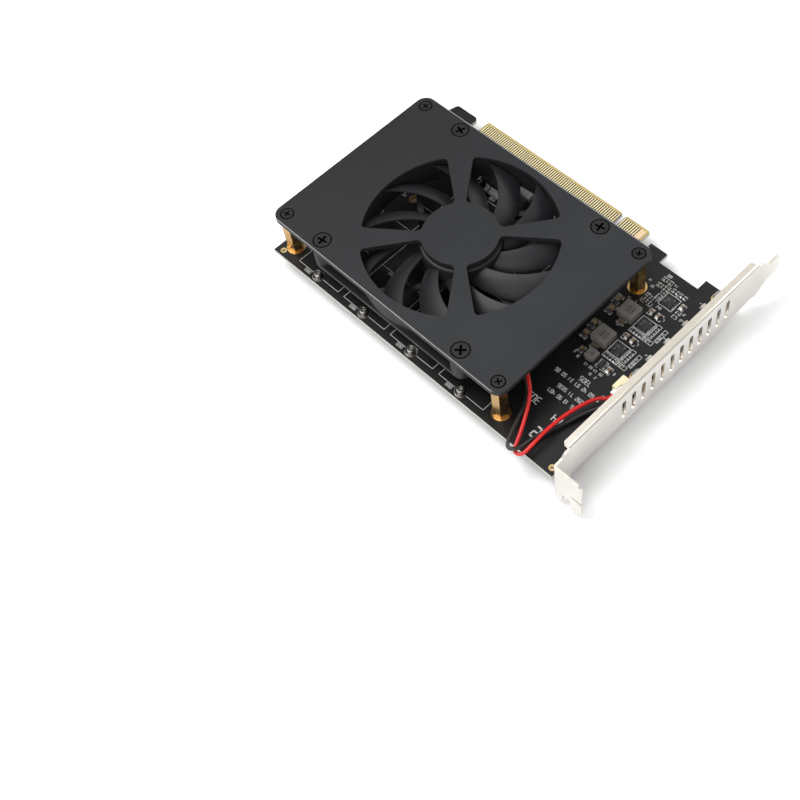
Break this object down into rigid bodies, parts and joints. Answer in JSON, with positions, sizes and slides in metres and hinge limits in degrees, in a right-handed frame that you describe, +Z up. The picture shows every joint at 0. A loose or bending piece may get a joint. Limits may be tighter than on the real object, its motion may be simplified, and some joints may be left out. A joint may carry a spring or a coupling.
{
  "type": "nvme adapter card",
  "caption": "Plug-in server card that holds M.2 drive modules side by side under a dark metal cover with a spinning cooling fan; slotted steel bracket at one end",
  "frame": {"origin": "the middle of the key notch, on the tip line of the contact edge, on the component face of the board", "axes": "+X toward the bracket along the contact edge, +Y out of the contact edge toward the slot, +Z up from the component face"},
  "size_m": [0.1602, 0.1225, 0.0282],
  "materials": {
    "board_black": "black solder mask over woven laminate",
    "contact_gold": "gold plating on copper pads",
    "bracket_steel": "nickel-plated sheet steel",
    "screw_steel": "bright nickel-plated screw",
    "nut_steel": "tinned steel nut",
    "post_brass": "turned brass",
    "cover_grey": "satin dark grey anodised sheet",
    "screw_black": "black oxide screw",
    "fan_plastic": "black glass-filled plastic",
    "bush_bronze": "sintered bronze",
    "circuit_green": "small motor board",
    "core_steel": "laminated silicon steel",
    "coil_copper": "enamelled copper wire",
    "yoke_steel": "drawn steel cup",
    "magnet_rubber": "bonded ferrite ring",
    "shaft_steel": "ground steel pin",
    "socket_plastic": "moulded socket body",
    "ferrite_grey": "moulded ferrite block",
    "chip_black": "epoxy chip package",
    "cap_tan": "ceramic capacitor with tinned ends",
    "resistor_dark": "thick film resistor with tinned ends",
    "led_white": "clear-topped light package",
    "header_cream": "cream nylon housing",
    "lead_tin": "tinned leads",
    "plug_white": "white nylon plug",
    "wire_red": "red insulation",
    "wire_black": "black insulation"
  },
  "bodies": {
    "card": {"circuit_board": "board_black", "edge_contacts_front": "contact_gold", "edge_contacts_back": "contact_gold", "bracket": "bracket_steel", "bracket_screws": "screw_steel", "bracket_nuts": "nut_steel", "cover_standoffs": "post_brass", "cover_plate": "cover_grey", "cover_screws": "screw_black", "fan_screws": "screw_black", "back_screws": "screw_black", "fan_frame": "fan_plastic", "fan_bearing": "bush_bronze", "fan_circuit": "circuit_green", "fan_stator": "core_steel", "fan_coils": "coil_copper", "m2_connector_1": "socket_plastic", "m2_connector_2": "socket_plastic", "m2_connector_3": "socket_plastic", "m2_connector_4": "socket_plastic", "m2_nuts": "nut_steel", "power_inductors": "ferrite_grey", "small_inductor": "ferrite_grey", "power_chips": "chip_black", "chip_capacitors": "cap_tan", "chip_resistors": "resistor_dark", "status_leds": "led_white", "fan_header": "header_cream", "header_pins": "lead_tin", "fan_plug": "plug_white", "red_wire": "wire_red", "black_wire": "wire_black"},
    "rotor": {"fan_rotor": "fan_plastic", "fan_yoke": "yoke_steel", "fan_magnet": "magnet_rubber", "fan_shaft": "shaft_steel"}
  },
  "joints": [
    {"name": "fan_spin", "type": "hinge", "parent": "card", "child": "rotor", "pos_m": [-0.0286, -0.0586, 0.013], "axis": [0, 0, 1], "continuous": true}
  ]
}
